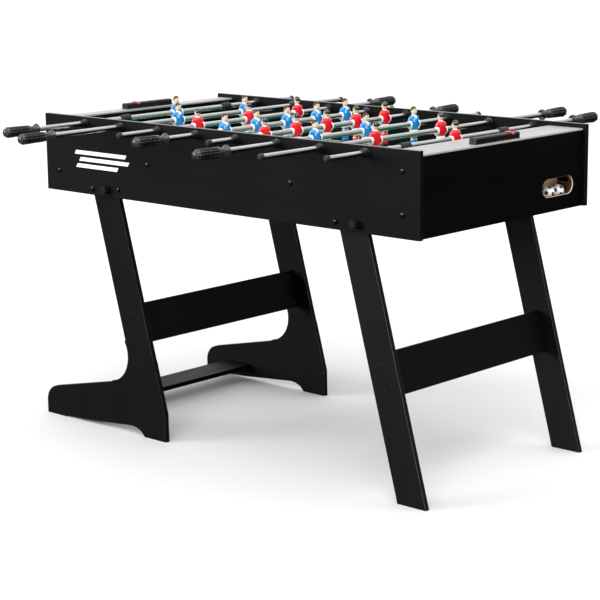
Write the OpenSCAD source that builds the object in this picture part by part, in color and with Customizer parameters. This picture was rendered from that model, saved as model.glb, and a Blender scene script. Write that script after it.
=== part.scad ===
// Folding home foosball table. The cabinet carries eight player rods over a green field.
// The left leg frame is L-shaped with a long toe, the right frame is straight and leans out.
// +X is the end with the loaded ball slot, -Y is the near long side, Z = 0 is the floor.
// Rods are numbered 1 to 8 from the left end to the right end.

/* [Cabinet] */
// Outer length of the cabinet along X
cab_l = 1210; // [1000:10:1400]
// Outer width over the two side panels
cab_w = 625; // [560:5:700]
// Thickness of every structural board
board_t = 12; // [9:0.5:18]
// Height of the side panels' top edge above the floor
top_z = 790; // [700:5:900]
// Height of a side panel board
side_h = 192; // [170:1:220]
// Step from the side panels' top edge down to the end decks
deck_drop = 10; // [6:1:20]
// Thickness of an end deck
deck_t = 4; // [3:0.5:8]
// Distance of the end panels in from the side panels' ends
end_inset = 8; // [0:1:20]
// Length of the right end deck along X
deck_right_l = 97; // [60:1:97]
// Length of the left end deck along X
deck_left_l = 48; // [40:1:97]

/* [Field and goals] */
// Height of the field's playing surface
field_z = 694; // [660:1:720]
// Thickness of the field board
field_t = 10; // [6:1:15]
// Distance of a goal wall's field face from the middle of the table
goal_x = 552; // [540:1:560]
// Width of a goal mouth
mouth_w = 200; // [160:5:240]
// Height of a goal mouth
mouth_h = 70; // [50:1:76]
// Width of a ball slot in an end panel
slot_w = 121; // [90:1:140]
// Height of a ball slot
slot_h = 42; // [36:1:60]
// Distance of a ball slot's middle from the table's long axis
slot_y = 203; // [150:1:210]
// Height of a ball slot's middle
slot_z = 654; // [645:0.5:665]
// Ball diameter
ball_d = 32; // [26:1:34]

/* [Rods] */
// Spacing of neighbouring rods
rod_gap = 130; // [125:1:150]
// Height of the rod axes
rod_z = 774; // [770:1:776]
// Rod diameter
rod_d = 12.7; // [10:0.1:16]
// Wall of the rod tube
rod_wall = 1.2; // [1:0.1:2]
// Length of a handle
handle_l = 100; // [90:1:130]
// Length of an end cap
cap_l = 11; // [10:1:20]
// Reach of the inner nose of a bushing from the side panel
nose_in = 12.5; // [6:0.5:16]
// Reach of the outer nose of a bushing from the side panel
nose_out = 16; // [6:0.5:20]

/* [Players] */
// Head top above the rod axis
head_top = 42.5; // [38:0.5:44]
// Foot bottom below the rod axis
foot_drop = 76; // [70:0.5:78]
// Width over a player's arms
arm_w = 39; // [30:1:42]

/* [Legs] */
// Lean of both leg frames from upright, in degrees
lean = 15.4; // [10:0.1:20]
// Width of a right leg board
right_leg_w = 78; // [60:1:80]
// Width of a left leg board
left_leg_w = 87; // [60:1:90]
// Reach of the left toe from the middle of the cabinet
toe_reach = 655; // [600:1:680]

/* [Hidden] */
$fn = 48;
cab_x = 21;
half_l = cab_l / 2;
half_w = cab_w / 2;
in_y = half_w - board_t;
side_z = top_z - side_h;
deck_z = top_z - deck_drop - deck_t;
end_x = half_l - end_inset;
end_z = side_z;
tray_z = 620;
bush_r = 10;
fit_gap = 0.1;
free_gap = 0.3;
screw_r = 2;
head_r = 4.5;
bolt_r = 4;
board_x = 543;
leg_y0 = in_y - 1 - board_t;
leg_y1 = in_y - 1;
right_pivot = [430, 617];
right_lock = [368, 615];
left_pivot = [-433, 614];
left_lock = [-380, 616];
stop_bolt = [-339, 619];
// Per rod: players, side of the handle (-1 near, 1 far), slide offset, facing along X
counts = [1, 2, 3, 5, 5, 3, 2, 1];
sides = [-1, -1, 1, -1, 1, -1, 1, 1];
offsets = [0, 0, 0, 0, 0, -7, -7, 0];
blue = [0.08, 0.22, 0.62];
red = [0.72, 0.06, 0.08];
black = [0.06, 0.06, 0.065];
function rod_x(k) = rod_gap * (k - 4.5);
function tip_y(n) = n == 5 ? 508 : n == 2 ? 626 : 565;
function cap_y(n) = n == 5 ? 405 : n == 2 ? 500 : n == 3 ? 440 : 442;
function pitch_y(n) = n == 5 ? 108 : n == 3 ? 178 : 238;
function tone(k) = sides[k - 1] < 0 ? blue : red;

// ---- helpers ----
// Places children in the cabinet's own X frame.
module cab() translate([cab_x, 0, 0]) children();

// Round bar along Y.
module bar_y(p, y0, y1, r)
  translate([p[0], y0, p[1]])
    rotate([-90, 0, 0])
      cylinder(h = y1 - y0, r = r);

// Flat profile drawn in X and Z, thickened from y0 to y1.
module plate(y0, y1)
  translate([0, y1, 0])
    rotate([90, 0, 0])
      linear_extrude(height = y1 - y0)
        children();

// Turned profile of [radius, distance] points along Y, pointing to side s.
module turned(s)
  rotate([s > 0 ? -90 : 90, 0, 0])
    rotate_extrude($fn = 64)
      children();

// The places of the cabinet screws: X and Z of each.
function screw_spots() = [[-558, 649], [-558, 743], [558, 649], [558, 743],
  [-234, 689], [234, 689]];

// ---- cabinet boards ----
module side_panel(s) {
  y0 = s > 0 ? in_y : -half_w;
  cab() difference() {
    translate([-half_l, y0, side_z])
      cube([cab_l, board_t, side_h]);
    for (k = [1:8])
      bar_y([rod_x(k), rod_z], y0 - 1, y0 + board_t + 1, bush_r + 0.05);
    for (p = screw_spots())
      bar_y(p, y0 - 1, y0 + board_t + 1, screw_r + 0.05);
    for (p = [left_pivot, right_lock])
      bar_y(p, y0 - 1, y0 + board_t + 1, bolt_r + 0.05);
    for (p = [right_pivot, left_lock])
      bar_y(p, y0 - 1, y0 + board_t + 1, bolt_r + free_gap);
    bar_y(stop_bolt, y0 - 1, y0 + board_t + 1, 3);
  }
}
module side_panel_near() color(black) side_panel(-1);
module side_panel_far() color(black) side_panel(1);

// Long rounded slot through the board, drawn in Y and Z.
module slot_cut()
  rotate([90, 0, 90])
    linear_extrude(height = 3 * board_t, center = true)
      translate([slot_y, slot_z]) {
        square([slot_w - slot_h, slot_h], center = true);
        for (m = [-1, 1])
          translate([m * (slot_w - slot_h) / 2, 0])
            circle(d = slot_h);
      }

module end_panel()
  difference() {
    translate([end_x - board_t, -in_y, end_z])
      cube([board_t, 2 * in_y, deck_z - end_z]);
    translate([end_x - board_t / 2, 0, 0])
      slot_cut();
  }
module end_panel_right() color(black) cab() end_panel();
module end_panel_left() color(black) cab() rotate([0, 0, 180]) end_panel();

module goal_wall()
  difference() {
    translate([goal_x, -in_y, 622])
      cube([board_t, 2 * in_y, deck_z - 622]);
    translate([goal_x - 1, -mouth_w / 2, field_z - 2])
      cube([board_t + 2, mouth_w, mouth_h + 2]);
    translate([goal_x - 1, -105, 600])
      cube([board_t + 2, 375, field_z - field_t - 600]);
    translate([goal_x - 1, -mouth_w / 2, field_z - field_t - 1])
      cube([board_t + 2, mouth_w, field_t]);
    for (z = [649, 743], s = [-1, 1])
      bar_y([goal_x + board_t / 2, z], s > 0 ? in_y - 21 : -in_y - 1,
        s > 0 ? in_y + 1 : -in_y + 21, screw_r + 0.05);
  }
module goal_walls() color(black) cab() {
  goal_wall();
  rotate([0, 0, 180]) goal_wall();
}

module playfield() color([0.05, 0.42, 0.2]) cab() difference() {
  translate([-goal_x, -in_y, field_z - field_t])
    cube([2 * goal_x, 2 * in_y, field_t]);
  for (x = [-234, 234], s = [-1, 1])
    bar_y([x, 689], s > 0 ? in_y - 21 : -in_y - 1,
      s > 0 ? in_y + 1 : -in_y + 21, screw_r + 0.05);
}

module end_deck_right() color([0.82, 0.81, 0.81]) cab()
  translate([end_x - deck_right_l, -in_y, deck_z])
    cube([deck_right_l, 2 * in_y, deck_t]);
module end_deck_left() color([0.82, 0.81, 0.81]) cab()
  translate([-end_x, -in_y, deck_z])
    cube([deck_left_l, 2 * in_y, deck_t]);

// Ball tray behind a goal: sloping floor, level part at the slot, tall board on the field side.
module ball_tray()
  difference() {
    union() {
      translate([board_x, 0, 0])
        rotate([90, 0, 90])
          linear_extrude(height = end_x - board_t - board_x)
            polygon([[-105, 640], [139, tray_z - 4], [270, tray_z - 4], [270, 655], [-105, 662]]);
      translate([board_x, -105, tray_z - 4])
        cube([6, 375, field_z - field_t - tray_z + 4]);
    }
    translate([board_x + 6, 0, 0])
      rotate([90, 0, 90])
        linear_extrude(height = 60)
          polygon([[-102, 644], [139, tray_z], [267, tray_z], [267, 700], [-102, 700]]);
    translate([board_x - 1, 0, 0])
      rotate([90, 0, 90])
        linear_extrude(height = 60)
          polygon([[-106, 600], [280, 600], [280, tray_z - 4], [139, tray_z - 4], [-105, 640],
          [-106, 640]]);
  }
module ball_trays() color([0.72, 0.58, 0.4]) cab() {
  ball_tray();
  rotate([0, 0, 180]) ball_tray();
}

// ---- rods and what is on them ----
// Sleeve through a side panel with a flange and a nose on each face.
module bushing()
  difference() {
    turned(1)
      polygon([[5, in_y - nose_in], [8.2, in_y - nose_in], [8.8, in_y - nose_in + 1.5],
        [8.8, in_y - 3.5], [12.8, in_y - 3.5], [13.5, in_y - 2.5], [13.5, in_y],
        [bush_r, in_y], [bush_r, half_w], [12, half_w], [12, half_w + 1.2], [11.2, half_w + 2],
        [8.6, half_w + 2], [8.6, half_w + nose_out - 1.5], [8, half_w + nose_out],
        [5, half_w + nose_out]]);
    translate([0, in_y - nose_in - 1, 0])
      rotate([-90, 0, 0])
        cylinder(h = 60, r = rod_d / 2 + fit_gap);
  }
module rod_bushings() color(black) cab()
  for (k = [1:8]) translate([rod_x(k), 0, rod_z]) {
    bushing();
    mirror([0, 1, 0]) bushing();
  }

module at_rod(k)
  cab() translate([rod_x(k), offsets[k - 1], rod_z]) children();

module rod(k) {
  n = counts[k - 1];
  s = sides[k - 1];
  y0 = s < 0 ? -tip_y(n) + 14 : -cap_y(n) + 4;
  y1 = s < 0 ? cap_y(n) - 4 : tip_y(n) - 14;
  color([0.8, 0.81, 0.83]) at_rod(k) difference() {
    bar_y([0, 0], y0, y1, rod_d / 2);
    bar_y([0, 0], y0 - 1, y1 + 1, rod_d / 2 - rod_wall);
  }
}

// Figure moulded in one piece with the rod hole through the chest; it faces along dir.
module figure(dir) {
  w = arm_w / 2;
  difference() {
    union() {
      intersection() {
        rotate([90, 0, 90])
          linear_extrude(height = 40, center = true)
            polygon([[-5, 21], [4.5 - w, 19], [1.5 - w, 14], [-w, 4], [-w, -5], [2 - w, -11],
              [5.5 - w, -13], [-11.5, -13], [-11.5, -31], [-9, -60], [-12, -64],
              [-12, -foot_drop], [12, -foot_drop], [12, -64], [9, -60], [11.5, -31],
              [11.5, -13], [w - 5.5, -13], [w - 2, -11], [w, -5], [w, 4], [w - 1.5, 14],
              [w - 4.5, 19], [5, 21]]);
        rotate([90, 0, 0])
          linear_extrude(height = 60, center = true)
            scale([dir, 1])
              polygon([[-5, 22], [-8, 14], [-8.6, 0], [-7, -14], [-6.5, -32], [-4, -58],
                [-7, -68], [-7, -foot_drop], [4, -foot_drop], [8.5, -70], [8, -66],
                [4, -58], [6.5, -32], [7.5, -14], [8.6, 0], [8, 14], [5, 22]]);
      }
      translate([0, 0, 18])
        cylinder(h = 10, r = 4.6);
      translate([0, 0, head_top - 8.8])
        sphere(r = 8.8);
    }
    bar_y([0, 0], -30, 30, rod_d / 2 + 0.05);
  }
}
module players(k) {
  n = counts[k - 1];
  color(tone(k)) at_rod(k)
    for (i = [0:n - 1])
      translate([0, (i - (n - 1) / 2) * pitch_y(n), 0])
        figure(-sides[k - 1]);
}

// Grip with a rounded outer end, a narrow neck and a bell collar facing the table.
module handle(k) {
  n = counts[k - 1];
  s = sides[k - 1];
  t = tip_y(n);
  color(black) at_rod(k)
    difference() {
      turned(s)
        polygon([[0, t - handle_l], [13.6, t - handle_l], [14, t - handle_l + 1],
          [13.6, t - handle_l + 2.6], [11.4, t - handle_l + 5], [9.4, t - handle_l + 9],
          [8.4, t - handle_l + 15], [8.6, t - handle_l + 20], [11, t - handle_l + 24],
          [11.8, t - handle_l + 30], [12.5, t - handle_l + 62], [13.6, t - 14], [13, t - 7],
          [10.8, t - 2.5], [6.5, t], [0, t]]);
      rotate([s > 0 ? -90 : 90, 0, 0])
        translate([0, 0, t - handle_l - 1])
          cylinder(h = handle_l - 12, r = rod_d / 2 + 0.05);
    }
}

module end_cap(k) {
  n = counts[k - 1];
  s = -sides[k - 1];
  t = cap_y(n);
  color(black) at_rod(k)
    difference() {
      turned(s)
        polygon([[0, t - cap_l], [7.4, t - cap_l], [7.7, t - cap_l + 0.8], [7.7, t - 4],
          [6.6, t - 1.6], [4, t - 0.3], [0, t]]);
      rotate([s > 0 ? -90 : 90, 0, 0])
        translate([0, 0, t - cap_l - 1])
          cylinder(h = cap_l - 2.5, r = rod_d / 2 + free_gap);
    }
}

module bumpers(k)
  color([0.05, 0.05, 0.05]) at_rod(k)
    for (m = [-1, 1])
      difference() {
        bar_y([0, 0], m * 179 - 14, m * 179 + 14, 10);
        bar_y([0, 0], m * 179 - 15, m * 179 + 15, rod_d / 2 + free_gap);
      }
module bumpers_1() bumpers(1);
module bumpers_8() bumpers(8);

module rod_1() rod(1);
module rod_2() rod(2);
module rod_3() rod(3);
module rod_4() rod(4);
module rod_5() rod(5);
module rod_6() rod(6);
module rod_7() rod(7);
module rod_8() rod(8);
module players_1() players(1);
module players_2() players(2);
module players_3() players(3);
module players_4() players(4);
module players_5() players(5);
module players_6() players(6);
module players_7() players(7);
module players_8() players(8);
module handle_1() handle(1);
module handle_2() handle(2);
module handle_3() handle(3);
module handle_4() handle(4);
module handle_5() handle(5);
module handle_6() handle(6);
module handle_7() handle(7);
module handle_8() handle(8);
module end_cap_1() end_cap(1);
module end_cap_2() end_cap(2);
module end_cap_3() end_cap(3);
module end_cap_4() end_cap(4);
module end_cap_5() end_cap(5);
module end_cap_6() end_cap(6);
module end_cap_7() end_cap(7);
module end_cap_8() end_cap(8);

// ---- score keepers ----
// Grooved rail standing on a deck; y0 is its near end.
module score_rail(x, y0)
  translate([x, y0, top_z - deck_drop])
    difference() {
      translate([0, 160, 0])
        rotate([90, 0, 0])
          linear_extrude(height = 160)
            polygon([[-10, 0], [10, 0], [10, 12], [7.5, 15], [-7.5, 15], [-10, 12]]);
      for (m = [-1, 1])
        translate([m * 4 - 1, -1, 13.2])
          cube([2, 162, 5]);
    }
module score_rails() color(black) cab() {
  score_rail(580, -98);
  score_rail(-575, -71);
}

// Low saddle that hugs the bevelled top of a rail and slides along it.
module score_marker(x, y)
  translate([x, y - 5, top_z - deck_drop])
    difference() {
      translate([0, 10, 0])
        rotate([90, 0, 0])
          linear_extrude(height = 10)
            polygon([[-11.6, 10.4], [11.6, 10.4], [11.6, 13], [8.6, 17], [-8.6, 17],
              [-11.6, 13]]);
      translate([0, 11, 0])
        rotate([90, 0, 0])
          linear_extrude(height = 12)
            polygon([[-10.2, 0], [10.2, 0], [10.2, 12.1], [7.6, 15.2], [-7.6, 15.2],
              [-10.2, 12.1]]);
    }
module score_marker_right() color(red) cab() score_marker(580, 36);
module score_marker_left() color(red) cab() score_marker(-575, -31);

module balls() color([0.93, 0.93, 0.9]) cab()
  for (y = [244, 207])
    translate([567, y, tray_z + 0.4 + ball_d / 2])
      sphere(d = ball_d);

// ---- fasteners of the cabinet ----
// Screw along Y into the near side: shank from the head inwards.
module cab_screw(p, s)
  scale([1, s, 1]) {
    bar_y(p, half_w, half_w + 1.4, head_r);
    bar_y(p, in_y - 20, half_w, screw_r);
  }
module leg_bolt(p, y_in, s)
  scale([1, s, 1]) {
    bar_y(p, half_w, half_w + 3, 6);
    bar_y(p, y_in, half_w, bolt_r);
  }
module cabinet_screws() color([0.35, 0.35, 0.36]) cab()
  for (s = [-1, 1]) {
    for (p = screw_spots())
      cab_screw(p, s);
    leg_bolt(right_lock, in_y + 1, s);
    leg_bolt(left_pivot, leg_y0 - 5, s);
    scale([1, s, 1]) {
      bar_y(left_pivot, leg_y0 - 5, leg_y0 - 0.3, 7);
      bar_y(stop_bolt, half_w, half_w + 2.6, 5.5);
      bar_y(stop_bolt, in_y + 0.5, half_w, 2.95);
    }
  }

// ---- left leg frame ----
// L-shaped board in X and Z: leaning leg, rounded inside corner, long toe and heel.
module left_leg_shape()
  difference() {
    union() {
      translate(left_pivot)
        rotate(lean) {
          translate([-15.3, -520])
            square([left_leg_w, 518]);
          translate([-1.3, -2])
            circle(r = 14);
          translate([left_leg_w - 29.3, -2])
            circle(r = 14);
          translate([-1.3, -2])
            square([left_leg_w - 28, 14]);
        }
      polygon([[-283.5, 0], [-207, 0], [-208, 70], [-243.5, 200], [-345.7, 240],
        [-401.3, 123.5], [-620.6, 76.4], [-611, 33], [-toe_reach, 33], [-toe_reach, 0],
        [-634, 0], [-509.6, 6.3], [-377.2, 17.7], [-332, 21.4], [-313, 19.6],
        [-296.9, 12.9]]);
      translate([-611, 33])
        circle(r = toe_reach - 611);
    }
    translate([-409, 197])
      circle(r = 71);
    translate([-800, -200])
      square([700, 200]);
  }
module left_leg(s)
  cab() scale([1, s, 1]) difference() {
    plate(leg_y0, leg_y1)
      left_leg_shape();
    bar_y(left_pivot, leg_y0 - 1, leg_y1 + 1, bolt_r + free_gap);
    bar_y([-426, 574], leg_y0 - 1, leg_y1 + 1, 3);
    for (p = left_spots()) {
      bar_y(p, leg_y0 - 1, leg_y1 + 1, screw_r + 0.05);
      bar_y(p, leg_y1 - 1.5, leg_y1 + 1, head_r + 0.05);
    }
  }
function left_spots() = [[-319.7, 312.2], [-302.7, 252.5], [-556.7, 38.5], [-498.1, 38.5]];
module left_leg_near() color(black) left_leg(-1);
module left_leg_far() color(black) left_leg(1);
module left_crossboard() color(black) cab() difference() {
  translate([left_pivot[0], 0, left_pivot[1]])
    rotate([0, -lean, 0])
      translate([23, -leg_y0, -402])
        cube([12, 2 * leg_y0, 100]);
  for (p = [left_spots()[0], left_spots()[1]], s = [-1, 1])
    bar_y(p, s > 0 ? leg_y0 - 26 : -leg_y0 - 1, s > 0 ? leg_y0 + 1 : -leg_y0 + 26,
      screw_r + 0.05);
}
module left_foot_bar() color(black) cab() difference() {
  translate([-573, -leg_y0, 32.5])
    cube([90, 2 * leg_y0, 12]);
  for (p = [left_spots()[2], left_spots()[3]], s = [-1, 1])
    bar_y(p, s > 0 ? leg_y0 - 26 : -leg_y0 - 1, s > 0 ? leg_y0 + 1 : -leg_y0 + 26,
      screw_r + 0.05);
}
// Flush screw from the leg's outer face into a crossboard.
module leg_screw(p, s)
  scale([1, s, 1]) {
    bar_y(p, leg_y1 - 1.5, leg_y1, head_r);
    bar_y(p, leg_y0 - 25, leg_y1 - 1.5, screw_r);
  }
module left_leg_screws() color([0.35, 0.35, 0.36]) cab()
  for (p = left_spots(), s = [-1, 1])
    leg_screw(p, s);

// ---- right leg frame ----
// Places children in the leaning leg's own frame, with its pivot at the origin.
module on_right()
  cab() translate([right_pivot[0], 0, right_pivot[1]]) rotate([0, -lean, 0]) children();
function right_spots() = [[14 - right_leg_w / 2, -307], [14 - right_leg_w / 2, -371]];
module right_leg(s)
  difference() {
    on_right() scale([1, s, 1]) difference() {
      plate(leg_y0, leg_y1) {
        translate([14 - right_leg_w, -700])
          square([right_leg_w, 698]);
        translate([0, -2])
          circle(r = 14);
        translate([28 - right_leg_w, -2])
          circle(r = 14);
        translate([28 - right_leg_w, -2])
          square([right_leg_w - 28, 14]);
      }
      bar_y([0, 0], leg_y0 - 1, leg_y1 + 1, bolt_r + free_gap);
      for (p = right_spots()) {
        bar_y(p, leg_y0 - 1, leg_y1 + 1, screw_r + 0.05);
        bar_y(p, leg_y1 - 1.5, leg_y1 + 1, head_r + 0.05);
      }
    }
    translate([200, -half_w, -200])
      cube([900, cab_w, 200]);
  }
module right_leg_near() color(black) right_leg(-1);
module right_leg_far() color(black) right_leg(1);
module right_crossboard() color(black) on_right() difference() {
  translate([14 - right_leg_w / 2 - 6, -leg_y0, -389])
    cube([12, 2 * leg_y0, 100]);
  for (p = right_spots(), s = [-1, 1])
    bar_y(p, s > 0 ? leg_y0 - 26 : -leg_y0 - 1, s > 0 ? leg_y0 + 1 : -leg_y0 + 26,
      screw_r + 0.05);
}
module right_leg_screws() color([0.35, 0.35, 0.36]) on_right()
  for (p = right_spots(), s = [-1, 1])
    leg_screw(p, s);

// ---- hand knobs ----
// Scalloped knob on the side panel; the shaft runs inwards to y_in.
module knob(p, y_in, s)
  scale([1, s, 1]) {
    difference() {
      bar_y(p, half_w + 0.4, half_w + 16, 10.2);
      for (a = [0:60:300])
        bar_y([p[0] + 12.3 * cos(a), p[1] + 12.3 * sin(a)], half_w + 4, half_w + 17, 3.8);
    }
    bar_y(p, y_in, half_w + 0.4, bolt_r);
  }
module left_lock_knobs() color(black) cab()
  for (s = [-1, 1])
    knob(left_lock, in_y + 0.5, s);
module right_pivot_knobs() color(black) cab()
  for (s = [-1, 1]) {
    knob(right_pivot, leg_y0 - 5, s);
    scale([1, s, 1])
      bar_y(right_pivot, leg_y0 - 5, leg_y0 - 0.4, 7);
  }

side_panel_near();
side_panel_far();
end_panel_left();
end_panel_right();
playfield();
end_deck_left();
end_deck_right();
goal_walls();
ball_trays();
rod_bushings();
score_rails();
score_marker_left();
score_marker_right();
balls();
cabinet_screws();
left_leg_near();
left_leg_far();
left_crossboard();
left_foot_bar();
left_leg_screws();
right_leg_near();
right_leg_far();
right_crossboard();
right_leg_screws();
left_lock_knobs();
right_pivot_knobs();
bumpers_1();
bumpers_8();
rod_1();
rod_2();
rod_3();
rod_4();
rod_5();
rod_6();
rod_7();
rod_8();
players_1();
players_2();
players_3();
players_4();
players_5();
players_6();
players_7();
players_8();
handle_1();
handle_2();
handle_3();
handle_4();
handle_5();
handle_6();
handle_7();
handle_8();
end_cap_1();
end_cap_2();
end_cap_3();
end_cap_4();
end_cap_5();
end_cap_6();
end_cap_7();
end_cap_8();
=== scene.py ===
import bpy
import bmesh
import math
from mathutils import Euler, Matrix, Vector


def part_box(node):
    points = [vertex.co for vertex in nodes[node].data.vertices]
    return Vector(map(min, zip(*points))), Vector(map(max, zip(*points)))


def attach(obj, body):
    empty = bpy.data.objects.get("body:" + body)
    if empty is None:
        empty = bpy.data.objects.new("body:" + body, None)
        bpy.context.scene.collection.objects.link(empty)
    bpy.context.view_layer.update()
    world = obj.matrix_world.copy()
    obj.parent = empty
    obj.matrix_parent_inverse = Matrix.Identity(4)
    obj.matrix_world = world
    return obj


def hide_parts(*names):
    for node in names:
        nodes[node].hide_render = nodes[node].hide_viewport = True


# Folding foosball table: the finished pieces and materials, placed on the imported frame.
# Places come from the frame's own boxes, in metres. Grips and figures are drawn in millimetres
# and scaled by MM.
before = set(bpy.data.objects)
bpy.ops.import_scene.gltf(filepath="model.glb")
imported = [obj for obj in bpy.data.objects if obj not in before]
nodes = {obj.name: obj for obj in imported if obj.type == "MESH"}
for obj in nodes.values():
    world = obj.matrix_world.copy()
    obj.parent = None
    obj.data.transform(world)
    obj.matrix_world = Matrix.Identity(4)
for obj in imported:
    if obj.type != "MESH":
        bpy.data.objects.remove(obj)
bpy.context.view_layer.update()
scene = bpy.context.scene
TAU = 2 * math.pi
MM = 0.001

# ---------------------------------------------------------------- camera and light
cam_data = bpy.data.cameras.new("camera")
cam_data.lens = 113.14
cam_data.sensor_width = 36.0
cam = bpy.data.objects.new("camera", cam_data)
cam.location = (3.0983, -3.3677, 1.3033)
cam.rotation_euler = Euler((math.radians(78.0698), math.radians(0.5995), math.radians(42.5534)), "XYZ")
scene.collection.objects.link(cam)
scene.camera = cam
scene.view_settings.view_transform = "Standard"

world = bpy.data.worlds.new("studio")
scene.world = world
world.use_nodes = True
wnt = world.node_tree


def wrange(source, lo, hi, to_lo, to_hi):
    """World value mapped from one range to another."""
    n = wnt.nodes.new("ShaderNodeMapRange")
    for key, value in (("From Min", lo), ("From Max", hi), ("To Min", to_lo), ("To Max", to_hi)):
        n.inputs[key].default_value = value
    wnt.links.new(source, n.inputs["Value"])
    return n.outputs["Result"]


def wmath(kind, p, q):
    """World sum or product of two values, each a number or a socket."""
    n = wnt.nodes.new("ShaderNodeMath")
    n.operation = kind
    for i, v in enumerate((p, q)):
        if isinstance(v, (int, float)):
            n.inputs[i].default_value = v
        else:
            wnt.links.new(v, n.inputs[i])
    return n.outputs["Value"]


# Plain white where the camera sees it. For the light it is a soft room: dark below the horizon,
# brighter upwards, and brightest behind the table.
seen = wnt.nodes["Background"]
seen.inputs["Color"].default_value = (1, 1, 1, 1)
seen.inputs["Strength"].default_value = 1.1
soft = wnt.nodes.new("ShaderNodeBackground")
soft.inputs["Color"].default_value = (1, 1, 1, 1)
way = wnt.nodes.new("ShaderNodeTexCoord")
axes = wnt.nodes.new("ShaderNodeSeparateXYZ")
wnt.links.new(way.outputs["Generated"], axes.inputs["Vector"])
back = wmath("ADD", wmath("MULTIPLY", axes.outputs["X"], -0.68), wmath("MULTIPLY", axes.outputs["Y"], 0.73))
above = wrange(axes.outputs["Z"], -0.03, 0.1, 0.03, 1.0)
level = wmath("ADD", wrange(axes.outputs["Z"], 0.0, 0.8, 0.35, 0.75), wrange(back, 0.2, 0.95, 0.0, 0.8))
wnt.links.new(wmath("MULTIPLY", level, above), soft.inputs["Strength"])
ray = wnt.nodes.new("ShaderNodeLightPath")
pick = wnt.nodes.new("ShaderNodeMixShader")
wnt.links.new(ray.outputs["Is Camera Ray"], pick.inputs["Fac"])
wnt.links.new(soft.outputs["Background"], pick.inputs[1])
wnt.links.new(seen.outputs["Background"], pick.inputs[2])
wnt.links.new(pick.outputs["Shader"], wnt.nodes["World Output"].inputs["Surface"])


def sun(name, towards, strength, spread_deg):
    """A very large soft box: a sun with a wide disc, shining from the given direction."""
    data = bpy.data.lights.new(name, "SUN")
    data.energy = strength
    data.angle = math.radians(spread_deg)
    o = bpy.data.objects.new(name, data)
    o.rotation_euler = Vector(towards).to_track_quat("Z", "Y").to_euler()
    scene.collection.objects.link(o)


sun("overhead_box", (0.42, -0.12, 1.0), 2.5, 85)
sun("side_box", (-0.62, -0.78, 0.3), 2.6, 34)
sun("front_box", (0.5, -0.75, 0.75), 1.3, 40)


# ---------------------------------------------------------------- materials
GRAIN_X = (0.12, 1, 1)
GRAIN_Y = (1, 0.12, 1)
GRAIN_Z = (1, 1, 0.12)
EVEN = (1, 1, 1)


def new_material(name, colour, rough, metal=0.0, spec=0.5, coat=0.0):
    """A plain material, with its node tree and shader node to add to."""
    m = bpy.data.materials.new(name)
    m.use_nodes = True
    b = m.node_tree.nodes["Principled BSDF"]
    b.inputs["Base Color"].default_value = (*colour, 1)
    b.inputs["Roughness"].default_value = rough
    b.inputs["Metallic"].default_value = metal
    b.inputs["Specular IOR Level"].default_value = spec
    b.inputs["Coat Weight"].default_value = coat
    b.inputs["Coat Roughness"].default_value = 0.1
    return m, m.node_tree, b


def add_noise(nt, scale, detail=4.0, stretch=EVEN, rough=0.5):
    """Noise over the piece; a small stretch value draws the grain out along that axis."""
    tc = nt.nodes.new("ShaderNodeTexCoord")
    mp = nt.nodes.new("ShaderNodeMapping")
    mp.inputs["Scale"].default_value = stretch
    no = nt.nodes.new("ShaderNodeTexNoise")
    no.inputs["Scale"].default_value = scale
    no.inputs["Detail"].default_value = detail
    no.inputs["Roughness"].default_value = rough
    nt.links.new(tc.outputs["Object"], mp.inputs["Vector"])
    nt.links.new(mp.outputs["Vector"], no.inputs["Vector"])
    return no.outputs["Fac"]


def ramp(nt, fac, low, high):
    """Colour that runs from low to high with the noise."""
    r = nt.nodes.new("ShaderNodeValToRGB")
    r.color_ramp.elements[0].position = 0.3
    r.color_ramp.elements[1].position = 0.7
    r.color_ramp.elements[0].color = (*low, 1)
    r.color_ramp.elements[1].color = (*high, 1)
    nt.links.new(fac, r.inputs["Fac"])
    return r.outputs["Color"]


def spread(nt, fac, low, high):
    """Value that runs from low to high with the noise."""
    r = nt.nodes.new("ShaderNodeMapRange")
    r.inputs["To Min"].default_value = low
    r.inputs["To Max"].default_value = high
    nt.links.new(fac, r.inputs["Value"])
    return r.outputs["Result"]


def bump(nt, bsdf, fac, strength, depth):
    """Fine relief from the noise; depth is in metres."""
    b = nt.nodes.new("ShaderNodeBump")
    b.inputs["Strength"].default_value = strength
    b.inputs["Distance"].default_value = depth
    nt.links.new(fac, b.inputs["Height"])
    nt.links.new(b.outputs["Normal"], bsdf.inputs["Normal"])


def laminate(name, low, high, rough, grain, spec=0.08):
    """Printed or raw board: grain in the colour, worn patches in the gloss, a fine pressed texture."""
    m, nt, b = new_material(name, low, rough, spec=spec)
    tone = add_noise(nt, 14, 5, grain, 0.6)
    nt.links.new(ramp(nt, tone, low, high), b.inputs["Base Color"])
    wear = add_noise(nt, 46, 3, grain)
    nt.links.new(spread(nt, wear, rough - 0.08, rough + 0.1), b.inputs["Roughness"])
    fine = add_noise(nt, 420, 6, grain, 0.7)
    bump(nt, b, fine, 0.22, 0.0004)
    return m


def moulded(name, low, high, rough, bump_scale=900, bump_strength=0.15, spec=0.5, coat=0.0):
    """Moulded plastic, rubber or paint with slight unevenness."""
    m, nt, b = new_material(name, low, rough, spec=spec, coat=coat)
    tone = add_noise(nt, 60, 4)
    nt.links.new(ramp(nt, tone, low, high), b.inputs["Base Color"])
    nt.links.new(spread(nt, add_noise(nt, 130, 3), rough - 0.06, rough + 0.08), b.inputs["Roughness"])
    bump(nt, b, add_noise(nt, bump_scale, 3), bump_strength, 0.0002)
    return m


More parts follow.
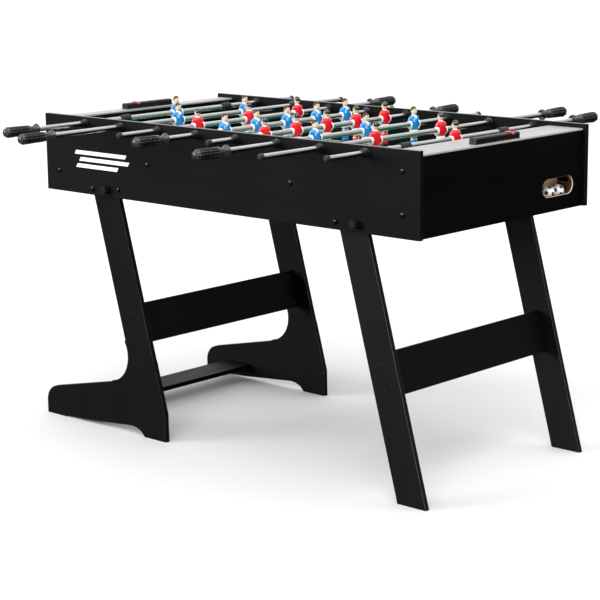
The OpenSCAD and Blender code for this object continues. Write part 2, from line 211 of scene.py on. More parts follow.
M = {}
BLACK = ((0.0017, 0.0017, 0.0018), (0.0033, 0.0033, 0.0035))
M["board_x"] = laminate("black_laminate_long", *BLACK, 0.5, GRAIN_X)
M["board_z"] = laminate("black_laminate_tall", *BLACK, 0.5, GRAIN_Z)
M["board_y"] = laminate("black_laminate_cross", *BLACK, 0.5, GRAIN_Y)
M["field"] = laminate("green_field_print", (0.0, 0.088, 0.035), (0.001, 0.112, 0.046), 0.42, EVEN, 0.3)
M["line"] = moulded("white_field_line", (0.78, 0.79, 0.78), (0.86, 0.86, 0.85), 0.45)
M["deck"] = laminate("pale_deck_laminate", (0.27, 0.264, 0.268), (0.32, 0.313, 0.318), 0.4,
                     (1, 0.1, 1), 0.3)
M["mdf"] = laminate("raw_fibreboard", (0.66, 0.42, 0.22), (0.82, 0.56, 0.33), 0.85, EVEN, 0.2)
# Lighter, glossier black for top faces and rail bevel strips: a painted highlight where light catches the
# edges.
M["edge"] = laminate("black_edge_painted_highlight", (0.012, 0.012, 0.012), (0.02, 0.02, 0.02), 0.3, GRAIN_X, 0.5)
# A darker copy of the black laminate for the end panels: painted shade on the faces turned from the light.
M["board_end"] = laminate("black_laminate_end_painted_shade", (0.0008, 0.0008, 0.0008), (0.0018, 0.0018, 0.0018), 0.5,
                          GRAIN_Y, 0.06)
# A lighter copy of the black laminate for the right legs: painted light standing for the floor's bounce
# light.
M["board_leg"] = laminate("black_laminate_leg_painted_light", (0.0026, 0.0026, 0.0027), (0.0048, 0.0048, 0.005), 0.46,
                          GRAIN_Z, 0.12)
# Far lighter black for the bevel strips on vertical corners: a painted highlight along the corner edges.
M["bevel"] = laminate("black_bevel_painted_highlight", (0.2, 0.2, 0.2), (0.3, 0.3, 0.3), 0.28, (1, 1, 0.3), 0.6)
M["under"] = laminate("underside_fibreboard", (0.12, 0.11, 0.1), (0.18, 0.165, 0.15), 0.85, EVEN, 0.1)
M["mdf_pale"] = laminate("pale_cut_edge", (0.68, 0.54, 0.44), (0.8, 0.66, 0.56), 0.8, EVEN, 0.2)
# Dark fibreboard: painted shade deep in the end slots and on the ball trays' large faces.
M["mdf_dark"] = laminate("fibreboard_painted_shade", (0.05, 0.03, 0.018), (0.1, 0.06, 0.036), 0.85, EVEN, 0.1)
M["knob"] = moulded("black_knob_plastic", (0.002, 0.002, 0.0022), (0.004, 0.004, 0.0043), 0.42, spec=0.2)
M["plastic"] = moulded("black_plastic", (0.0035, 0.0035, 0.0038), (0.0065, 0.0065, 0.007), 0.3, spec=0.3)
M["grip"] = moulded("black_grip_plastic", (0.014, 0.014, 0.0144), (0.024, 0.024, 0.0246), 0.24,
                    700, 0.12, 0.6)
M["rubber"] = moulded("black_rubber", (0.008, 0.008, 0.008), (0.016, 0.016, 0.016), 0.5,
                      1400, 0.3, 0.3)
M["blue"] = moulded("blue_shirt_paint", (0.002, 0.22, 0.6), (0.015, 0.3, 0.72), 0.26, coat=0.3)
M["red"] = moulded("red_shirt_paint", (0.74, 0.005, 0.014), (0.86, 0.012, 0.028), 0.24, coat=0.3)
M["white"] = moulded("white_kit_paint", (0.8, 0.81, 0.83), (0.88, 0.88, 0.89), 0.32, coat=0.15)
M["skin"] = moulded("skin_paint", (0.84, 0.62, 0.4), (0.91, 0.71, 0.49), 0.42)
M["hair_brown"] = moulded("dark_brown_hair_paint", (0.01, 0.006, 0.004), (0.02, 0.012, 0.008), 0.3)
M["hair_black"] = moulded("black_hair_paint", (0.004, 0.004, 0.004), (0.009, 0.009, 0.009), 0.14, coat=0.5)
M["boot"] = moulded("black_boot_paint", (0.012, 0.012, 0.014), (0.02, 0.02, 0.022), 0.3)
M["marker"] = moulded("red_marker_plastic", (0.55, 0.01, 0.015), (0.68, 0.02, 0.025), 0.3, coat=0.2)
M["ball_white"] = moulded("ball_white_plastic", (0.9, 0.9, 0.88), (0.95, 0.95, 0.93), 0.24, coat=0.2)
M["ball_black"] = moulded("ball_black_patch", (0.012, 0.012, 0.012), (0.02, 0.02, 0.02), 0.3)
M["decal"] = moulded("white_print", (0.76, 0.76, 0.76), (0.84, 0.84, 0.84), 0.4)


def chrome():
    """Polished tube with streaks along the rod."""
    m, nt, b = new_material("chrome_tube", (0.7, 0.71, 0.73), 0.18, 1.0)
    streak = add_noise(nt, 700, 3, (1, 0.02, 1))
    nt.links.new(spread(nt, streak, 0.14, 0.26), b.inputs["Roughness"])
    tone = add_noise(nt, 90, 3, (1, 0.15, 1))
    nt.links.new(ramp(nt, tone, (0.53, 0.53, 0.545), (0.65, 0.655, 0.67)), b.inputs["Base Color"])
    bump(nt, b, streak, 0.05, 0.00005)
    return m


def steel():
    """Dark zinc-plated screws."""
    m, nt, b = new_material("dark_zinc_steel", (0.05, 0.05, 0.052), 0.36, 1.0)
    nt.links.new(spread(nt, add_noise(nt, 600, 3), 0.2, 0.34), b.inputs["Roughness"])
    grime = add_noise(nt, 300, 3)
    nt.links.new(ramp(nt, grime, (0.022, 0.022, 0.024), (0.06, 0.06, 0.063)), b.inputs["Base Color"])
    bump(nt, b, add_noise(nt, 1500, 2), 0.1, 0.0001)
    return m


M["chrome"] = chrome()
M["steel"] = steel()


# ---------------------------------------------------------------- floor
reach = 80
corners = [(-reach, -reach, 0), (reach, -reach, 0), (reach, reach, 0), (-reach, reach, 0)]
floor_mesh = bpy.data.meshes.new("floor")
floor_mesh.from_pydata(corners, [], [(0, 1, 2, 3)])
floor = bpy.data.objects.new("floor", floor_mesh)
scene.collection.objects.link(floor)
floor.data.materials.append(new_material("pale_floor", (0.6, 0.6, 0.6), 0.7, spec=0.1)[0])
floor.visible_glossy = False


# ---------------------------------------------------------------- mesh helpers
WELD = 0.00001
SHARP_DEG = 35
FLAT_AREA = 0.0002  # square metres; larger faces of a board are shaded flat


def finish_mesh(bm, name, mats, smooth=True, angle=40):
    """Object made of bm, shaded smooth except over edges sharper than the angle."""
    bmesh.ops.recalc_face_normals(bm, faces=bm.faces)
    me = bpy.data.meshes.new(name)
    bm.to_mesh(me)
    bm.free()
    for m in mats:
        me.materials.append(m)
    o = bpy.data.objects.new(name, me)
    scene.collection.objects.link(o)
    if smooth:
        me.polygons.foreach_set("use_smooth", [True] * len(me.polygons))
        me.set_sharp_from_angle(angle=math.radians(angle))
    return o


def set_material(node, mat):
    """Gives a CAD node that stays visible its material."""
    o = nodes[node]
    if not o.material_slots:
        o.data.materials.append(mat)
    for s in o.material_slots:
        s.material = mat


def softened(node, body, mat, width=1.0, segments=2, paint=(), cut_x=None):
    """A copy of a CAD node with its sharp edges eased by width, in millimetres, that stands for the node.

    paint lists (material, test) pairs for faces that differ; cut_x splits the faces at that X first.
    """
    bm = bmesh.new()
    bm.from_mesh(nodes[node].data)
    bmesh.ops.remove_doubles(bm, verts=bm.verts, dist=WELD)
    bmesh.ops.dissolve_limit(bm, angle_limit=math.radians(1), verts=bm.verts, edges=bm.edges)
    sharp = [e for e in bm.edges
             if len(e.link_faces) == 2 and e.calc_face_angle(0) > math.radians(SHARP_DEG)]
    bmesh.ops.bevel(bm, geom=sharp, offset=width * MM, segments=segments, profile=0.5,
                    affect="EDGES", clamp_overlap=True)
    if cut_x is not None:
        bmesh.ops.bisect_plane(bm, geom=bm.verts[:] + bm.edges[:] + bm.faces[:], dist=0.000001,
                               plane_co=(cut_x, 0, 0), plane_no=(1, 0, 0))
    mats = [mat]
    for i, (extra, test) in enumerate(paint):
        mats.append(extra)
        for f in bm.faces:
            if test(f):
                f.material_index = i + 1
    o = finish_mesh(bm, "board_" + node, mats)
    for p in o.data.polygons:
        if p.area > FLAT_AREA:
            p.use_smooth = False
    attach(o, body)
    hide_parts(node)


def ring_faces(bm, rings, mat=0, close=True):
    """Skins a row of rings of vertices, and caps both ends if close is set."""
    for a, b in zip(rings[:-1], rings[1:]):
        n = len(a)
        for i in range(n):
            f = bm.faces.new((a[i], a[(i + 1) % n], b[(i + 1) % n], b[i]))
            f.material_index = mat
    if close:
        for r in (rings[0], rings[-1]):
            f = bm.faces.new(r)
            f.material_index = mat


def loft(bm, sections, n=24, mat=0, power=2.0):
    """Stacked rounded sections (z, half depth x, half width y, x offset, y offset), in millimetres."""
    rings = []
    for z, rx, ry, ox, oy in sections:
        ring = []
        for i in range(n):
            t = TAU * i / n
            c, s = math.cos(t), math.sin(t)
            x = math.copysign(abs(c) ** (2 / power), c) * rx + ox
            y = math.copysign(abs(s) ** (2 / power), s) * ry + oy
            ring.append(bm.verts.new((x * MM, y * MM, z * MM)))
        rings.append(ring)
    ring_faces(bm, rings, mat)


def dense(sections, k):
    """Extra sections between the given ones, on a smooth curve through them."""
    out = []
    for i in range(len(sections) - 1):
        p = [sections[max(i - 1, 0)], sections[i], sections[i + 1], sections[min(i + 2, len(sections) - 1)]]
        for j in range(k):
            t = j / k
            out.append(tuple(0.5 * (2 * b + (c - a) * t + (2 * a - 5 * b + 4 * c - d) * t * t
                                    + (3 * b - a - 3 * c + d) * t ** 3) for a, b, c, d in zip(*p)))
    return out + [sections[-1]]


def tube(bm, path, n=12, mat=0):
    """Round limb through (x, y, z, radius) points, in millimetres, with round ends."""
    pts = [Vector(p[:3]) for p in path]
    rad = [p[3] for p in path]
    d0, d1 = (pts[1] - pts[0]).normalized(), (pts[-1] - pts[-2]).normalized()
    full = []
    for k in (0.95, 0.7, 0.35):
        full.append((pts[0] - d0 * rad[0] * k, rad[0] * math.sqrt(1 - k * k)))
    full += list(zip(pts, rad))
    for k in (0.35, 0.7, 0.95):
        full.append((pts[-1] + d1 * rad[-1] * k, rad[-1] * math.sqrt(1 - k * k)))
    rings = []
    for i, (p, r) in enumerate(full):
        a, b = full[max(i - 1, 0)][0], full[min(i + 1, len(full) - 1)][0]
        q = (b - a).normalized().to_track_quat("Z", "Y")
        spokes = [Vector((math.cos(TAU * j / n) * r, math.sin(TAU * j / n) * r, 0)) for j in range(n)]
        rings.append([bm.verts.new((p + q @ v) * MM) for v in spokes])
    ring_faces(bm, rings, mat)


def ball_shape(bm, centre, radii, mat=0, seg=24, rings=16, keep=None, grow=1.0):
    """Ellipsoid, in millimetres; keep tells which points of it stay."""
    made = bmesh.ops.create_uvsphere(bm, u_segments=seg, v_segments=rings, radius=1.0)["verts"]
    for v in made:
        v.co = Vector([(centre[i] + v.co[i] * radii[i] * grow) * MM for i in range(3)])
    faces = {f for v in made for f in v.link_faces}
    for f in faces:
        f.material_index = mat
    if keep:
        gone = [v for v in made if not keep(v.co / MM)]
        bmesh.ops.delete(bm, geom=gone, context="VERTS")


def lathe(bm, profile, centre, sign, seg=48, shape=None, mat=0):
    """Turned form about a Y axis: profile is (radius, distance along Y times sign), in millimetres."""
    rings = []
    for r, u in profile:
        ring = []
        for i in range(seg):
            t = TAU * i / seg
            rr = r if shape is None else shape(r, u, t)
            ring.append(bm.verts.new(((centre[0] + math.cos(t) * rr) * MM, (centre[1] + sign * u) * MM,
                                      (centre[2] + math.sin(t) * rr) * MM)))
        rings.append(ring)
    ring_faces(bm, rings, mat)


def join_part(bm, part, matrix):
    """Moves a finished part into place and adds it to bm."""
    bmesh.ops.transform(part, matrix=matrix, verts=part.verts)
    joined = bpy.data.meshes.new("joined")
    part.to_mesh(joined)
    part.free()
    bm.from_mesh(joined)
    bpy.data.meshes.remove(joined)


# ---------------------------------------------------------------- boards
panel_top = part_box("side_panel_near")[1].z
BOARD_EASE, SMALL_EASE = 1.1, 0.8
# Bevel strips on the vertical corners of panels and legs: painted highlight.
CORNER_HIGHLIGHTS = [(M["bevel"], lambda f: abs(f.normal.x) > 0.25 and abs(f.normal.y) > 0.25)]
# The panels' top faces get the lighter edge black: a painted highlight along the top edge.
TOP_EDGE_HIGHLIGHT = [(M["edge"], lambda f: f.normal.z > 0.3 and f.calc_center_median().z > panel_top - 0.002)]
for side in ("near", "far"):
    softened("side_panel_" + side, "cabinet", M["board_x"], BOARD_EASE, 2,
             CORNER_HIGHLIGHTS + TOP_EDGE_HIGHLIGHT)


def slot_rim(node):
    """Where to split an end panel's slot rim, and its paint: a pale cut edge, then dark fibreboard as
    painted shade deeper in the slot.
    """
    lo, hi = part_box(node)
    c = (lo + hi) / 2
    s = 1 if c.x > 0 else -1
    face = hi.x if s > 0 else lo.x

    def rim(f, near, far):
        """Whether a face lies in the slot's rim, from near to far behind the panel's outer face."""
        m = f.calc_center_median()
        inside = lo.y + 0.02 < m.y < hi.y - 0.02 and lo.z + 0.01 < m.z < hi.z - 0.02
        return inside and abs(f.normal.x) < 0.8 and near <= s * (face - m.x) < far

    skin, band, deep = 0.0003, 0.0026, 0.02
    return face - s * band, [(M["mdf_pale"], lambda f: rim(f, skin, band)),
                             (M["mdf_dark"], lambda f: rim(f, band, deep))]


for side in ("left", "right"):
    cut, paint = slot_rim("end_panel_" + side)
    softened("end_panel_" + side, "cabinet", M["board_end"], SMALL_EASE, 2, paint, cut)
    softened("end_deck_" + side, "cabinet", M["deck"], 0.5, 2)
softened("goal_walls", "cabinet", M["board_y"], SMALL_EASE)
# The trays' large faces that face along Y get dark fibreboard: painted shade inside the cabinet end.
softened("ball_trays", "cabinet", M["mdf"], 0.5, 2,
         [(M["mdf_dark"], lambda f: abs(f.normal.y) > 0.9 and f.calc_area() > 0.0001)])
softened("playfield", "cabinet", M["field"], 0.4, 2,
         [(M["under"], lambda f: f.normal.z < 0.5)])
# Small bevel strips on the rails get the lighter edge black: a painted highlight along the rail edges.
softened("score_rails", "cabinet", M["plastic"], 0.5, 2,
         [(M["edge"], lambda f: f.calc_area() < 0.0004 and sum(abs(v) > 0.2 for v in f.normal) > 1)])
softened("score_marker_left", "marker_left", M["marker"], SMALL_EASE)
softened("score_marker_right", "marker_right", M["marker"], SMALL_EASE)
for part in ("left_leg_near", "left_leg_far"):
    softened(part, "left_legs", M["board_z"], BOARD_EASE, 2, CORNER_HIGHLIGHTS)
for part in ("left_crossboard", "left_foot_bar"):
    softened(part, "left_legs", M["board_y"], 1.0)
for part in ("right_leg_near", "right_leg_far"):
    softened(part, "right_legs", M["board_leg"], BOARD_EASE, 2, CORNER_HIGHLIGHTS)
softened("right_crossboard", "right_legs", M["board_y"], 1.0)
softened("left_lock_knobs", "lock_knobs", M["knob"], SMALL_EASE)
softened("right_pivot_knobs", "pivot_knobs", M["knob"], SMALL_EASE)
softened("rod_bushings", "cabinet", M["plastic"], 0.25)

for k in range(1, 9):
    set_material(f"rod_{k}", M["chrome"])
    set_material(f"end_cap_{k}", M["rubber"])
for k in (1, 8):
    set_material(f"bumpers_{k}", M["rubber"])
for n in ("cabinet_screws", "left_leg_screws", "right_leg_screws"):
    set_material(n, M["steel"])


# ---------------------------------------------------------------- field markings
flo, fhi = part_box("playfield")
fc = (flo + fhi) / 2
PRINT_T = 0.00025
LINE_W = 0.005
MARGIN = 0.012
BOXES = ((0.075, 0.12), (0.165, 0.185))  # depth and half width of the goal and penalty areas
SPOT, ARC_R, ARC_HALF = 0.12, 0.08, 0.93  # penalty arc: centre from the end line, radius, half angle
CENTRE_R, DOT_R = 0.085, 0.006


def flat_strip(bm, x0, x1, y0, y1):
    """Printed strip on the field."""
    place = Matrix.Translation(((x0 + x1) / 2, (y0 + y1) / 2, fhi.z + PRINT_T / 2))
    bmesh.ops.create_cube(bm, size=1, matrix=place @ Matrix.Diagonal((x1 - x0, y1 - y0, PRINT_T, 1)))


def line_across(bm, x, y0, y1):
    """Line of the usual width from side to side, at x."""
    flat_strip(bm, x - LINE_W / 2, x + LINE_W / 2, y0, y1)


def line_along(bm, x0, x1, y):
    """Line of the usual width from end to end, at y."""
    flat_strip(bm, min(x0, x1), max(x0, x1), y - LINE_W / 2, y + LINE_W / 2)


def flat_arc(bm, cx, cy, r, w, a0, a1, n=64):
    """Printed arc on the field from angle a0 to a1, or a whole ring."""
    rings = []
    z, t = fhi.z, PRINT_T
    closed = abs(a1 - a0) > TAU - 0.01
    for i in range(n if closed else n + 1):
        a = a0 + (a1 - a0) * i / n
        ring = []
        for rr, zz in ((r - w / 2, z), (r + w / 2, z), (r + w / 2, z + t), (r - w / 2, z + t)):
            ring.append(bm.verts.new((cx + math.cos(a) * rr, cy + math.sin(a) * rr, zz)))
        rings.append(ring)
    if closed:
        rings.append(rings[0])
    ring_faces(bm, rings, 0, not closed)


bm = bmesh.new()
y0, y1 = flo.y + MARGIN + LINE_W, fhi.y - MARGIN - LINE_W
line_across(bm, fc.x, y0, y1)
for s in (-1, 1):
    line_along(bm, flo.x + MARGIN, fhi.x - MARGIN, fc.y + s * (fhi.y - fc.y - MARGIN))
    ex = fc.x + s * (fhi.x - fc.x - MARGIN)
    line_across(bm, ex, y0, y1)
    for depth, half in BOXES:
        bx = ex - s * depth
        line_across(bm, bx, fc.y - half, fc.y + half)
        for q in (-1, 1):
            line_along(bm, ex - s * LINE_W / 2, bx - s * LINE_W / 2, fc.y + q * half)
    base = math.pi if s > 0 else 0
    flat_arc(bm, ex - s * SPOT, fc.y, ARC_R, LINE_W, base - ARC_HALF, base + ARC_HALF, 32)
flat_arc(bm, fc.x, fc.y, CENTRE_R, LINE_W, 0, TAU)
flat_arc(bm, fc.x, fc.y, DOT_R, 0.0119, 0, TAU, 20)
lines = finish_mesh(bm, "field_lines", [M["line"]], False)
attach(lines, "cabinet")


# ---------------------------------------------------------------- plain stripes on the near panel
wall_lo, wall_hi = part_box("side_panel_near")
bm = bmesh.new()
drop, pitch, height, slant, film = 0.094, 0.0165, 0.0095, 0.006, 0.0002
for i, (a, b) in enumerate(((0.108, 0.292), (0.124, 0.302), (0.112, 0.262))):
    z0 = wall_hi.z - drop - i * pitch
    z1 = z0 + height
    x0, x1 = wall_lo.x + a, wall_lo.x + b
    pts = [(x0, z0), (x1, z0), (x1 + slant, z1), (x0 + slant, z1)]
    lower = [bm.verts.new((x, wall_lo.y, z)) for x, z in pts]
    upper = [bm.verts.new((x, wall_lo.y - film, z)) for x, z in pts]
    ring_faces(bm, [lower, upper])
stripes = finish_mesh(bm, "panel_stripes", [M["decal"]], False)
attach(stripes, "cabinet")


# ---------------------------------------------------------------- screw heads
def screw_head(bm, centre, sign, radius, rise, pocket, n=22):
    """Domed head on a side face with a cross recess, facing along Y."""
    grid = []
    for i in range(n + 1):
        row = []
        for j in range(n + 1):
            u, v = 2 * i / n - 1, 2 * j / n - 1
            x = u * math.sqrt(1 - v * v / 2)
            z = v * math.sqrt(1 - u * u / 2)
            rr = min(1.0, math.hypot(x, z))
            h = rise * math.sqrt(max(0.0, 1 - (rr * 0.97) ** 2))
            if (abs(x) < 0.13 or abs(z) < 0.13) and rr < 0.6:
                h -= pocket
            row.append(bm.verts.new((centre.x + x * radius, centre.y + sign * h, centre.z + z * radius)))
        grid.append(row)
    for i in range(n):
        for j in range(n):
            bm.faces.new((grid[i][j], grid[i + 1][j], grid[i + 1][j + 1], grid[i][j + 1]))


def island_boxes(node):
    """Lowest and highest corner of each separate solid of a node, from its own mesh."""
    bm = bmesh.new()
    bm.from_mesh(nodes[node].data)
    bmesh.ops.remove_doubles(bm, verts=bm.verts, dist=WELD)
    bm.verts.ensure_lookup_table()
    seen, found = set(), []
    for v in bm.verts:
        if v.index in seen:
            continue
        stack, group = [v], []
        seen.add(v.index)
        while stack:
            w = stack.pop()
            group.append(w.co.copy())
            for e in w.link_edges:
                o = e.other_vert(w)
                if o.index not in seen:
                    seen.add(o.index)
                    stack.append(o)
        lo = Vector([min(c[i] for c in group) for i in range(3)])
        hi = Vector([max(c[i] for c in group) for i in range(3)])
        found.append((lo, hi))
    bm.free()
    return found


for node, body in (("cabinet_screws", "cabinet"), ("left_leg_screws", "left_legs"),
                   ("right_leg_screws", "right_legs")):
    flush = node != "cabinet_screws"
    bm = bmesh.new()
    for lo, hi in island_boxes(node):
        c = (lo + hi) / 2
        s = 1 if c.y > 0 else -1
        out = hi.y if s > 0 else lo.y
        r = (hi.x - lo.x) / 2
        # small heads outside a panel spread a little past their hole
        grow = 0.97 if flush or r > 0.005 else 1.3
        sunk, rise = (0.0009, 0.0009) if flush else (0.0, 0.0018)
        screw_head(bm, Vector((c.x, out - s * sunk, c.z)), s, min(r, 0.006) * grow, rise, 0.0009)
    heads = finish_mesh(bm, "screw_heads_" + body, [M["steel"]])
    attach(heads, body)


# Cam locks let into the crossboards' outer faces, two at each end.
CAM_R, CAM_FROM_END, CAM_FROM_EDGE = 0.0072, 0.015, 0.016
for node, body in (("left_crossboard", "left_legs"), ("right_crossboard", "right_legs")):
    face = max((p for p in nodes[node].data.polygons if p.normal.x > 0.5), key=lambda p: p.area)
    normal = face.normal.copy()
    up = Vector((-normal.z, 0, normal.x))
    heights = [v.co.dot(up) for v in nodes[node].data.vertices
               if abs((v.co - face.center).dot(normal)) < 0.0001]
    turn = Vector((0, 1, 0)).rotation_difference(normal).to_matrix().to_4x4()
    lo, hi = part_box(node)
    bm = bmesh.new()
    for y in (lo.y + CAM_FROM_END, hi.y - CAM_FROM_END):
        for w in (max(heights) - CAM_FROM_EDGE, min(heights) + CAM_FROM_EDGE):
            part = bmesh.new()
            screw_head(part, Vector((0, 0, 0)), 1, CAM_R, 0.0008, 0.0007)
            spot = normal * face.center.dot(normal) + up * w + Vector((0, y, 0))
            join_part(bm, part, Matrix.Translation(spot) @ turn)
    cams = finish_mesh(bm, "cam_locks_" + body, [M["steel"]])
    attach(cams, body)


# ---------------------------------------------------------------- handles
# Millimetres from the end that faces the cabinet: where the grip and its studs begin.
GRIP_START, STUD_START = 25.0, 27.0
GRIP_R, GRIP_FLARE = 11.5, 2.1
STUD_DEPTH, STUD_PITCH, STUD_ROWS = 2.1, 8.6, 10


def stud(r, u, t, start):
    """Raised pads in rows round the grip, with plain flutes towards the collar."""
    if u < start or r < 6:
        return r
    ridge = 0.5 + 0.5 * math.tanh(3.0 * math.cos(STUD_ROWS * t))
    row = 0.5 + 0.5 * math.tanh(4.0 * math.sin(TAU * (u - start) / STUD_PITCH))
    fade = min(1.0, (u - start) / 8.0)
    pads = ridge * (row if u > start + 16 else 1.0)
    return r - STUD_DEPTH * fade * (1 - pads)


for k in range(1, 9):
    lo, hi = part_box(f"handle_{k}")
    c = (lo + hi) / 2
    s = 1 if c.y > 0 else -1
    length = (hi.y - lo.y) / MM
    radius = (hi.x - lo.x) / 2 / MM
    start = (lo.y if s > 0 else hi.y) / MM
    rim = radius / 14
    outline = [(6.4, 0.6), (8.5, 0.3), (11.0, 0.0), (13.2 * rim, 0.05), (13.8 * rim, 0.5),
               (radius, 1.2), (13.7 * rim, 2.2), (12.6, 3.4), (11.2, 5.2), (10.0, 7.6), (9.1, 10.6),
               (8.5, 14.0), (8.3, 17.0), (8.7, 19.6), (9.9, 21.6), (10.9, 23.4)]
    u = GRIP_START
    grip_end = length - 12
    while u < grip_end:
        q = (u - GRIP_START) / (grip_end - GRIP_START)
        outline.append((GRIP_R + GRIP_FLARE * q ** 0.8, u))
        u += 1.0
    for a in range(0, 86, 9):
        t = math.radians(a)
        outline.append((13.6 * math.cos(t) ** 0.75, grip_end + 11.9 * math.sin(t)))
    outline.append((0.8, length - 0.02))
    bm = bmesh.new()
    lathe(bm, outline, (c.x / MM, start, c.z / MM), s, 112, lambda r, u, t: stud(r, u, t, STUD_START))
    # the grooves between the studs are painted darker: painted shade in the recesses
    for f in bm.faces:
        m = f.calc_center_median() / MM
        u = s * (m.y - start)
        full = GRIP_R + GRIP_FLARE * max(0.0, (u - GRIP_START) / (grip_end - GRIP_START)) ** 0.8
        if STUD_START < u < grip_end and math.hypot(m.x - c.x / MM, m.z - c.z / MM) < full - 0.9:
            f.material_index = 1
    o = finish_mesh(bm, f"grip_{k}", [M["grip"], M["knob"]], True, 50)
    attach(o, f"spinner_{k}")
    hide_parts(f"handle_{k}")


# ---------------------------------------------------------------- players
SHIRT, WHITE, SKIN, HAIR, BOOT = range(5)


def figure_mesh(team):
    """One moulded figure about its rod axis, facing +X, in millimetres.

    Loft rows are (height, half depth, half width, x, y); tube rows are (x, y, z, radius).
    """
    bm = bmesh.new()
    # shirt, with a white V at the neck
    body = dense([(-15, 6.6, 10.2, 0, 0), (-12, 7.6, 11.6, 0, 0), (-6, 8.2, 12.0, 0, 0),
                  (0, 8.6, 12.4, 0, 0), (6, 8.8, 13.2, 0, 0), (11, 8.5, 13.9, 0, 0),
                  (15, 7.8, 13.8, -0.2, 0), (17.8, 6.6, 12.2, -0.3, 0), (20, 5.3, 8.8, -0.4, 0),
                  (21.6, 4.2, 5.4, -0.4, 0)], 4)
    loft(bm, body, 40, SHIRT, 2.5)
    bm.faces.ensure_lookup_table()
    for f in bm.faces:
        c = f.calc_center_median() / MM
        if c.z > 12.5 and c.x > 0.5 and abs(c.y) < (c.z - 12.0) * 0.62:
            f.material_index = WHITE
    # short sleeves over white arms and hands
    for s in (-1, 1):
        sleeve = [(-0.3, s * 12.4, 15.0, 4.3), (-0.4, s * 14.2, 11.0, 4.1), (-0.4, s * 15.2, 6.4, 3.9)]
        tube(bm, sleeve, 18, SHIRT)
        arm = dense([(9.6, 2.6, 2.2, -0.3, s * 15.0), (8.2, 4.2, 3.4, -0.3, s * 15.2),
                     (4.6, 7.0, 3.8, -0.1, s * 15.6), (0, 8.5, 4.0, 0, s * 15.5),
                     (-4.6, 8.2, 3.9, 0.2, s * 15.2), (-8.6, 6.2, 3.6, 0.6, s * 14.6),
                     (-11.6, 4.4, 3.0, 1.2, s * 13.8), (-13.4, 2.2, 1.6, 1.4, s * 13.4)], 2)
        loft(bm, arm, 24, WHITE, 2.3)
    # collar
    loft(bm, [(19.8, 5.5, 6.2, -0.1, 0), (21.0, 5.8, 6.4, -0.1, 0), (22.4, 4.9, 5.3, -0.2, 0)], 24, WHITE)
    # plain ring badge on the chest
    rings = []
    for i in range(20):
        t = TAU * i / 20
        x = 8.35 - 0.05 * abs(math.cos(t))
        rings.append([bm.verts.new(((x + dx) * MM, (-5.6 + math.cos(t) * rr) * MM,
                                    (9.4 + math.sin(t) * rr * 1.15) * MM))
                      for rr, dx in ((1.9, -0.6), (2.0, 0.3), (3.2, 0.15), (3.3, -0.9))])
    ring_faces(bm, rings + [rings[0]], WHITE, False)
    # neck and head
    loft(bm, [(19, 4.0, 4.2, -0.4, 0), (23, 3.9, 4.0, -0.3, 0), (27, 4.2, 4.2, -0.2, 0)], 20, SKIN)
    loft(bm, [(22.0, 1.6, 1.9, 2.6, 0), (22.6, 3.6, 3.4, 1.6, 0), (24.2, 5.4, 4.9, 0.9, 0),
              (26.6, 6.8, 6.1, 0.3, 0), (29.6, 7.6, 6.8, 0, 0), (32.6, 7.8, 7.1, -0.1, 0),
              (35.6, 7.6, 6.9, -0.2, 0), (38.2, 6.6, 6.0, -0.4, 0), (40.4, 4.8, 4.4, -0.5, 0),
              (41.6, 2.4, 2.2, -0.6, 0)], 28, SKIN, 2.15)
    # nose, ears, brows, eyes and mouth
    loft(bm, [(28.2, 1.3, 1.1, 7.4, 0), (29.4, 1.7, 1.3, 7.6, 0), (31.2, 1.2, 0.9, 7.5, 0),
              (33.2, 0.6, 0.6, 7.1, 0)], 12, SKIN)
    for s in (-1, 1):
        ball_shape(bm, (-0.6, s * 6.9, 31.0), (1.6, 1.0, 2.2), SKIN, 12, 8)
        ball_shape(bm, (6.9, s * 2.6, 32.4), (0.7, 1.05, 0.75), HAIR, 12, 8)
        ball_shape(bm, (7.0, s * 2.7, 34.4), (0.6, 1.7, 0.45), HAIR, 12, 8)
    ball_shape(bm, (7.0, 0, 26.6), (0.5, 1.9, 0.4), HAIR, 12, 8)
    # hair: a cap with a fringe, low at the back
    ball_shape(bm, (-0.6, 0, 32.6), (8.0, 7.3, 9.6), HAIR, 32, 24,
               lambda p: (p.z - 32.6) > 0.6 + 0.42 * (p.x + 0.6) - (1.8 if abs(p.y) > 5.4 else 0), 1.045)
    # shorts
    loft(bm, [(-12.5, 7.0, 10.9, 0, 0), (-16, 7.6, 11.6, 0, 0), (-22, 7.8, 12.0, 0, 0),
              (-28, 7.6, 12.2, 0.2, 0), (-31, 7.0, 12.0, 0.3, 0)], 32, WHITE, 2.8)
    # legs, socks and boots
    for s in (-1, 1):
        tube(bm, [(0.2, s * 5.8, -29, 4.8), (0.3, s * 5.8, -36, 4.4), (0.2, s * 5.9, -41, 4.1)], 16, SKIN)
        loft(bm, [(-38.5, 4.3, 4.4, 0.2, s * 5.9), (-41, 4.9, 5.0, 0.2, s * 5.9),
                  (-48, 5.0, 5.1, -0.1, s * 5.9), (-56, 4.4, 4.6, 0, s * 5.9),
                  (-63, 4.2, 4.6, 0.2, s * 5.9)], 20, SHIRT)
        loft(bm, [(-62, 4.6, 4.9, 0, s * 6.0), (-65, 5.6, 5.5, 0.8, s * 6.0),
                  (-69, 7.0, 6.0, 1.4, s * 6.0), (-73, 7.6, 6.2, 1.2, s * 6.0),
                  (-75.6, 7.2, 6.0, 0.8, s * 6.0)], 24, BOOT, 2.7)
    # the web between them
    loft(bm, [(-30, 5.2, 3.4, 0.2, 0), (-48, 3.4, 2.6, 0, 0), (-63, 3.4, 2.6, 0, 0)], 16, SHIRT, 2.4)
    loft(bm, [(-62.5, 4.0, 2.8, 0, 0), (-70, 6.0, 3.0, 0.8, 0), (-75.2, 6.2, 3.0, 0.6, 0)], 16, BOOT, 2.6)
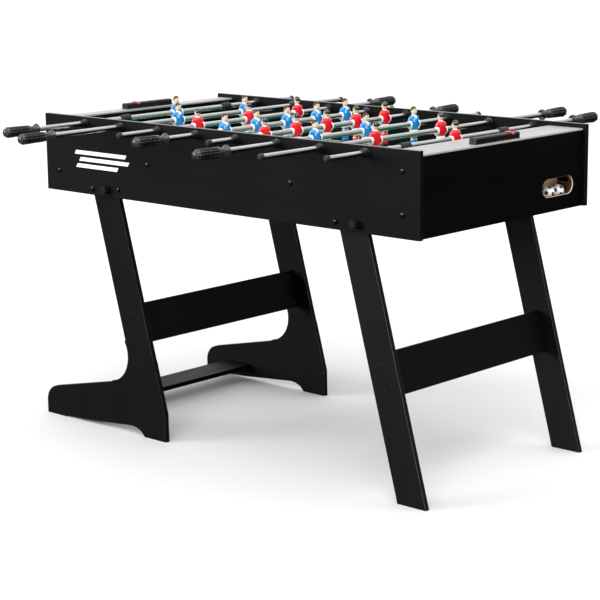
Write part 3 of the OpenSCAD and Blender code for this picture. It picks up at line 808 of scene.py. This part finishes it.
    # moulded ring where the rod passes
    rod_ring = [(6.5, 10.2), (8.6, 10.4), (8.8, 12.4), (8.2, 13.4), (6.5, 13.6)]
    for s in (-1, 1):
        lathe(bm, rod_ring, (0, 0, 0), s, 32, None, SHIRT)
    bmesh.ops.recalc_face_normals(bm, faces=bm.faces)
    me = bpy.data.meshes.new("figure_" + team)
    bm.to_mesh(me)
    bm.free()
    return me


figures = {"blue": figure_mesh("blue"), "red": figure_mesh("red")}
for k in range(1, 9):
    lo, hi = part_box(f"handle_{k}")
    near = (lo.y + hi.y) < 0
    team = "blue" if near else "red"
    rlo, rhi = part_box(f"rod_{k}")
    axis = (rlo + rhi) / 2
    bm = bmesh.new()
    for low, high in sorted(island_boxes(f"players_{k}"), key=lambda p: p[0].y):
        y = (low.y + high.y) / 2
        part = bmesh.new()
        part.from_mesh(figures[team])
        turn = Matrix.Rotation(0 if near else math.pi, 4, "Z")
        join_part(bm, part, Matrix.Translation((axis.x, y, axis.z)) @ turn)
    hair = M["hair_brown"] if near else M["hair_black"]
    o = finish_mesh(bm, f"figures_{k}", [M[team], M["white"], M["skin"], hair, M["boot"]], True, 60)
    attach(o, f"spinner_{k}")
    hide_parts(f"players_{k}")
for me in figures.values():
    bpy.data.meshes.remove(me)


# ---------------------------------------------------------------- balls
# Each ball's black patches are the pentagons round the corners of an icosahedron.
PHI = (1 + 5 ** 0.5) / 2
CORNERS = [Vector(v).normalized() for a in (-1, 1) for b in (-PHI, PHI)
           for v in ((0, a, b), (a, b, 0), (b, 0, a))]
bm = bmesh.new()
for i, (blo, bhi) in enumerate(sorted(island_boxes("balls"), key=lambda p: p[0].y)):
    c = (blo + bhi) / 2
    r = max((bhi.x - blo.x) / 2, (bhi.z - blo.z) / 2)
    made = bmesh.ops.create_icosphere(bm, subdivisions=6, radius=1.0)["verts"]
    spin = Euler((0.9 + i * 1.3, 0.4 + i * 0.8, 0.3 + i * 2.1)).to_matrix()
    faces = {f for v in made for f in v.link_faces}
    for f in faces:
        d = f.calc_center_median().normalized()
        near_c = max(CORNERS, key=lambda q: d.dot(q))
        ang = math.acos(min(1, d.dot(near_c)))
        others = sorted(CORNERS, key=lambda q: -near_c.dot(q))[1:6]
        flat = max(d.dot((q - near_c * q.dot(near_c)).normalized()) for q in others)
        f.material_index = 1 if flat < 0.27 and ang < 0.5 else 0
    for v in made:
        v.co = c + (spin @ v.co.normalized()) * r
balls = finish_mesh(bm, "game_balls", [M["ball_white"], M["ball_black"]], True, 80)
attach(balls, "balls")
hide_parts("balls")
